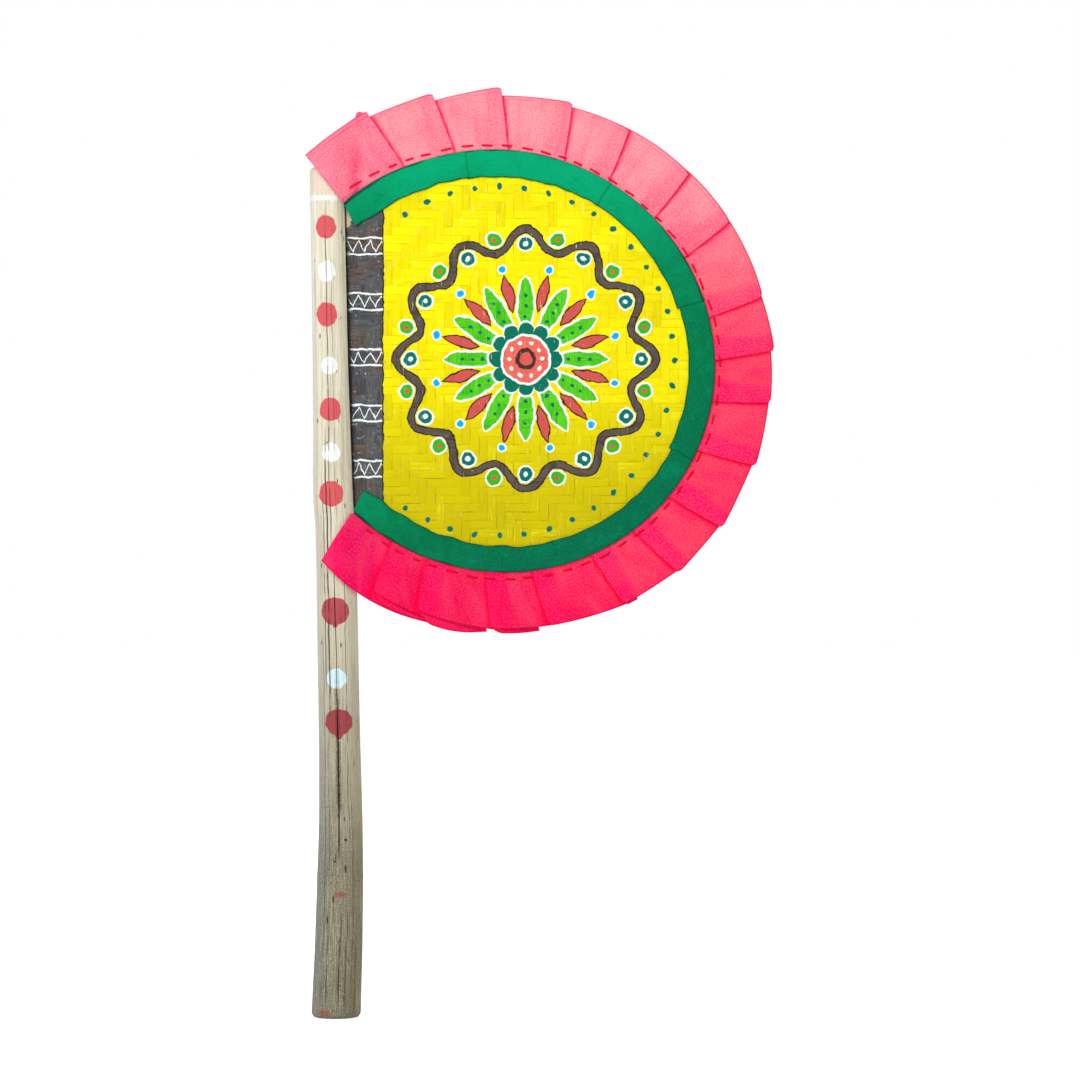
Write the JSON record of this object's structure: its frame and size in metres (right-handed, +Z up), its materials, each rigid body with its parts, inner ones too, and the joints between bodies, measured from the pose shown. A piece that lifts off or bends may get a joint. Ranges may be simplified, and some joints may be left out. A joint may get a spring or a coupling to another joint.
{
  "type": "bamboo hand fan",
  "caption": "Flag-shaped hand fan: a round bamboo handle slotted along one side for a woven splint blade, with a cloth-taped rim and a pleated ribbon frill.",
  "frame": {"origin": "middle of the handle's foot, where the grip starts", "axes": "+Z up the handle towards its top end; +X from the handle out across the blade; the painted face looks towards -Y"},
  "size_m": [0.2056, 0.0216, 0.4074],
  "materials": {
    "bamboo_culm": "satin, dry, with fine cracks",
    "painted_splints": "brushed enamel paint on split bamboo",
    "binding_tape": "matte woven cotton tape",
    "frill_cotton": "thin plain-woven cotton, slightly see-through",
    "stitch_thread": "matte cotton thread",
    "dried_glue": "dried, slightly glossy"
  },
  "bodies": {
    "root": {"handle_culm": "bamboo_culm", "upright_splints_01": "painted_splints", "upright_splints_02": "painted_splints", "upright_splints_03": "painted_splints", "upright_splints_04": "painted_splints", "upright_splints_05": "painted_splints", "upright_splints_06": "painted_splints", "upright_splints_07": "painted_splints", "upright_splints_08": "painted_splints", "upright_splints_09": "painted_splints", "upright_splints_10": "painted_splints", "upright_splints_11": "painted_splints", "upright_splints_12": "painted_splints", "upright_splints_13": "painted_splints", "upright_splints_14": "painted_splints", "upright_splints_15": "painted_splints", "upright_splints_16": "painted_splints", "upright_splints_17": "painted_splints", "upright_splints_18": "painted_splints", "upright_splints_19": "painted_splints", "upright_splints_20": "painted_splints", "upright_splints_21": "painted_splints", "upright_splints_22": "painted_splints", "cross_splints_01": "painted_splints", "cross_splints_02": "painted_splints", "cross_splints_03": "painted_splints", "cross_splints_04": "painted_splints", "cross_splints_05": "painted_splints", "cross_splints_06": "painted_splints", "cross_splints_07": "painted_splints", "cross_splints_08": "painted_splints", "cross_splints_09": "painted_splints", "cross_splints_10": "painted_splints", "cross_splints_11": "painted_splints", "cross_splints_12": "painted_splints", "cross_splints_13": "painted_splints", "cross_splints_14": "painted_splints", "cross_splints_15": "painted_splints", "cross_splints_16": "painted_splints", "cross_splints_17": "painted_splints", "cross_splints_18": "painted_splints", "cross_splints_19": "painted_splints", "cross_splints_20": "painted_splints", "cross_splints_21": "painted_splints", "cross_splints_22": "painted_splints", "cross_splints_23": "painted_splints", "cross_splints_24": "painted_splints", "cross_splints_25": "painted_splints", "front_tape_01": "binding_tape", "front_tape_02": "binding_tape", "front_tape_03": "binding_tape", "front_tape_04": "binding_tape", "front_tape_05": "binding_tape", "front_tape_06": "binding_tape", "back_tape": "binding_tape", "pleated_frill": "frill_cotton", "frill_thread": "stitch_thread", "edge_glue_bead": "dried_glue"}
  },
  "joints": []
}
